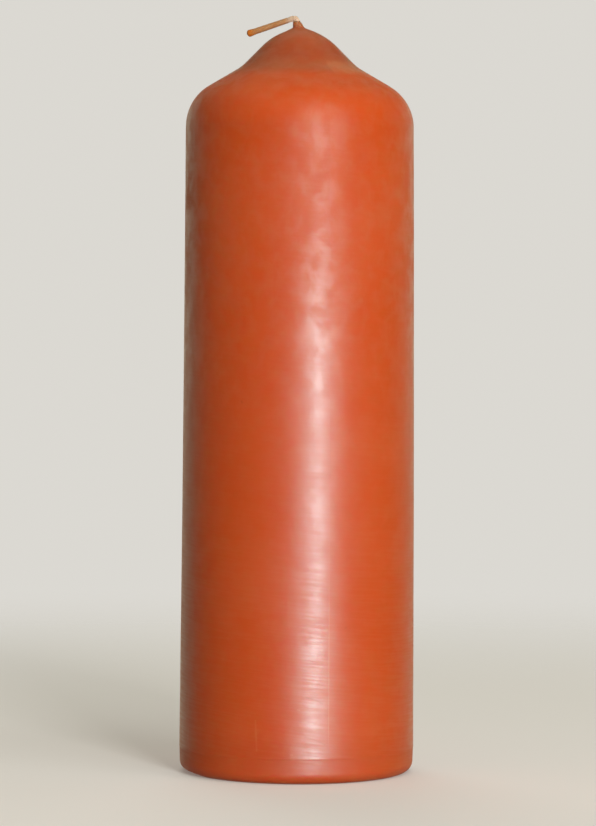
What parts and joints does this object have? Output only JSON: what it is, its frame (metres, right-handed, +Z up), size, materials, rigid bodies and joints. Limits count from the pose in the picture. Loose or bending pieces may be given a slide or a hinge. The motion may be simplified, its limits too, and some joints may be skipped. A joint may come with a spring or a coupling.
{
  "type": "pillar candle",
  "caption": "Round pillar candle of dyed beeswax with a bell-shaped top and a waxed wick bent over at the tip.",
  "frame": {"origin": "centre of the base, on the surface that the candle stands on", "axes": "+Z up the candle's axis, +X to the right of someone facing it, -Y towards them; the wick's tail points to -X and a little to +Y"},
  "size_m": [0.06, 0.06, 0.1926],
  "materials": {
    "wax": "terracotta orange dyed wax, satin, slightly translucent",
    "waxed_wick": "braided cotton soaked in wax"
  },
  "bodies": {
    "root": {"wax_body": "wax", "wick": "waxed_wick"}
  },
  "joints": []
}
